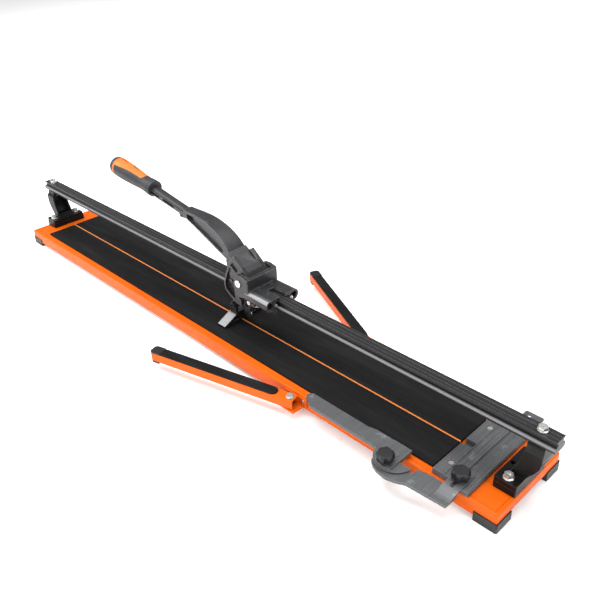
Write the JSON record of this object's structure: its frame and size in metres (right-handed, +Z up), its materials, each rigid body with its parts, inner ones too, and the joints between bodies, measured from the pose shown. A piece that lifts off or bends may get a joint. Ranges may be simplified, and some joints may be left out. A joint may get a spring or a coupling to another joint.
{
  "type": "tile cutter",
  "caption": "Manual tile cutter with an orange steel base, overhead guide rail, rolling carriage with breaker lever, scale fence with swivel arm, and swing-out support arms.",
  "frame": {"origin": "middle of the centre foot's underside, on the floor plane below the scoring line", "axes": "+X along the base towards the end with the fence, +Y to the back, +Z up"},
  "size_m": [1.464, 0.4388, 0.2917],
  "materials": {
    "orange_powder_coat": "gloss",
    "inside_paint": "satin",
    "black_rubber": "matte",
    "black_plastic": "satin",
    "rail_anodised": "satin",
    "black_casting": "satin",
    "dark_casting": "satin",
    "machined_casting": "satin, with machined upper faces",
    "black_steel": "black oxide",
    "fence_aluminium": "satin",
    "zinc_steel": "bright zinc plate",
    "wheel_steel": "ground",
    "roller_plastic": "satin",
    "grip_rubber": "matte",
    "grip_orange": "matte"
  },
  "bodies": {
    "base": {"base_plate": "orange_powder_coat", "base_stiffener": "inside_paint", "centre_foot": "black_rubber", "corner_feet": "black_plastic", "front_mat": "black_rubber", "rear_mat": "black_rubber", "breaking_rib": "orange_powder_coat", "rail": "rail_anodised", "near_stand": "black_casting", "far_stand": "black_casting", "stand_spacers": "black_casting", "stand_bolts": "zinc_steel", "stand_washers": "zinc_steel", "stand_nuts": "zinc_steel", "rail_bolts": "zinc_steel", "fence_block": "fence_aluminium", "fence_screws": "zinc_steel", "ruler_channel": "fence_aluminium", "front_arm_bracket": "orange_powder_coat", "rear_arm_bracket": "orange_powder_coat", "arm_bolts": "zinc_steel", "bracket_bolts": "zinc_steel"},
    "carriage": {"carriage_body": "dark_casting", "roller_pins": "zinc_steel", "side_screws": "zinc_steel", "adjusting_screws": "zinc_steel", "pivot_bolt": "zinc_steel", "pivot_nut": "zinc_steel", "pivot_washers": "zinc_steel"},
    "handle": {"lever": "dark_casting", "grip": "grip_rubber", "grip_inlay": "grip_orange", "wheel_holder": "dark_casting", "holder_screws": "black_steel", "wheel_axle": "black_steel", "foot_pins": "black_steel"},
    "foot": {"breaker_foot": "machined_casting"},
    "wheel": {"scoring_wheel": "wheel_steel"},
    "fence_bar": {"slide_bar": "fence_aluminium"},
    "fence_knob": {"fence_knob": "black_plastic"},
    "side_fence": {"side_fence": "fence_aluminium", "hub_rivet": "fence_aluminium"},
    "swivel_arm": {"swivel_arm": "fence_aluminium"},
    "protractor_knob": {"protractor_knob": "black_plastic"},
    "front_arm": {"front_arm_tube": "orange_powder_coat", "front_arm_pad": "black_rubber", "front_arm_cap": "black_plastic"},
    "rear_arm": {"rear_arm_tube": "orange_powder_coat", "rear_arm_pad": "black_rubber", "rear_arm_cap": "black_plastic"},
    "front_far_roller": {"front_far_roller": "roller_plastic"},
    "rear_far_roller": {"rear_far_roller": "roller_plastic"},
    "front_near_roller": {"front_near_roller": "roller_plastic"},
    "rear_near_roller": {"rear_near_roller": "roller_plastic"}
  },
  "joints": [
    {"name": "carriage_slide", "type": "slide", "parent": "base", "child": "carriage", "axis": [1, 0, 0], "range_m": [-0.685, 0.505]},
    {"name": "lever_pivot", "type": "hinge", "parent": "carriage", "child": "handle", "pos_m": [0.0975, 0, 0.1557], "axis": [0, 1, 0], "range_deg": [-1, 18]},
    {"name": "foot_pivot", "type": "hinge", "parent": "handle", "child": "foot", "pos_m": [0.048, 0, 0.0802], "axis": [0, 1, 0], "range_deg": [-2, 12]},
    {"name": "wheel_spin", "type": "hinge", "parent": "handle", "child": "wheel", "pos_m": [0.0735, 0, 0.0632], "axis": [0, 1, 0], "continuous": true},
    {"name": "fence_slide", "type": "slide", "parent": "base", "child": "fence_bar", "axis": [0, 1, 0], "range_m": [-0.15, 0]},
    {"name": "side_fence_slide", "type": "slide", "parent": "fence_bar", "child": "side_fence", "axis": [0, 1, 0], "range_m": [-0.006, 0.005]},
    {"name": "fence_knob_turn", "type": "hinge", "parent": "fence_bar", "child": "fence_knob", "pos_m": [0.6255, -0.07, 0.0542], "axis": [0, 0, 1], "range_deg": [-90, 270]},
    {"name": "swivel_turn", "type": "hinge", "parent": "side_fence", "child": "swivel_arm", "pos_m": [0.527, -0.098, 0.0422], "axis": [0, 0, 1], "range_deg": [0, 84]},
    {"name": "protractor_knob_turn", "type": "hinge", "parent": "side_fence", "child": "protractor_knob", "pos_m": [0.5225, -0.11749, 0.0542], "axis": [0, 0, 1], "range_deg": [-90, 270]},
    {"name": "front_arm_swing", "type": "hinge", "parent": "base", "child": "front_arm", "pos_m": [0.3, -0.105, 0.0342], "axis": [0, 0, 1], "range_deg": [-15, 75]},
    {"name": "rear_arm_swing", "type": "hinge", "parent": "base", "child": "rear_arm", "pos_m": [0.3, 0.105, 0.0342], "axis": [0, 0, 1], "range_deg": [-65, 25]},
    {"name": "front_far_roller_spin", "type": "hinge", "parent": "carriage", "child": "front_far_roller", "pos_m": [0.131, -0.0151, 0.133], "axis": [0, 0, 1], "continuous": true},
    {"name": "rear_far_roller_spin", "type": "hinge", "parent": "carriage", "child": "rear_far_roller", "pos_m": [0.131, 0.0151, 0.133], "axis": [0, 0, 1], "continuous": true},
    {"name": "front_near_roller_spin", "type": "hinge", "parent": "carriage", "child": "front_near_roller", "pos_m": [0.154, -0.0151, 0.133], "axis": [0, 0, 1], "continuous": true},
    {"name": "rear_near_roller_spin", "type": "hinge", "parent": "carriage", "child": "rear_near_roller", "pos_m": [0.154, 0.0151, 0.133], "axis": [0, 0, 1], "continuous": true}
  ],
  "couplings": [
    {"joint": "front_far_roller_spin", "follows": "carriage_slide", "rad_per_m": 142.86},
    {"joint": "rear_far_roller_spin", "follows": "carriage_slide", "rad_per_m": -142.86},
    {"joint": "front_near_roller_spin", "follows": "carriage_slide", "rad_per_m": 142.86},
    {"joint": "rear_near_roller_spin", "follows": "carriage_slide", "rad_per_m": -142.86}
  ]
}
